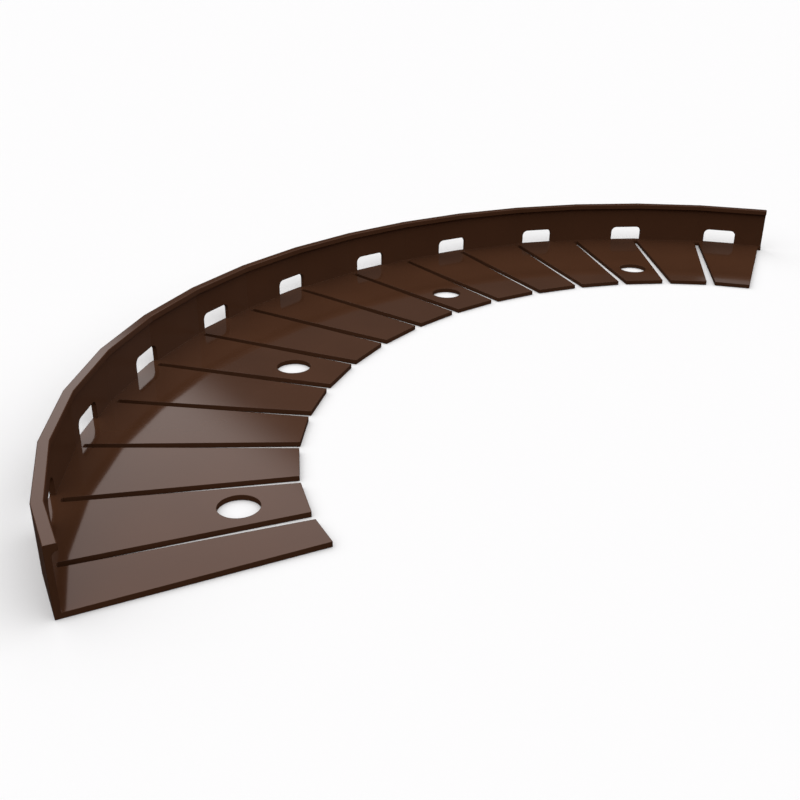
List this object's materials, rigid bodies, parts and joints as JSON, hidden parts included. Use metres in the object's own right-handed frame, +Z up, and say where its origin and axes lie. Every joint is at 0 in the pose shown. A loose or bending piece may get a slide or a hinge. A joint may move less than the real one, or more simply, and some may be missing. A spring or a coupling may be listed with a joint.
{
  "type": "curved stair nosing",
  "caption": "curved stair nosing profile: an L-section metal strip with a lip, slit along its leg and bent to a radius at the slits",
  "frame": {"origin": "under the middle of the bounding box, on the underside of the leg", "axes": "+X along the chord from the first finger to the last, +Y from the leg's side of the curve to the wall's side, +Z up"},
  "size_m": [0.4986, 0.1884, 0.025],
  "materials": {
    "coated_metal": "brown powder coat, satin"
  },
  "bodies": {
    "root": {"nosing_profile": "coated_metal"}
  },
  "joints": []
}
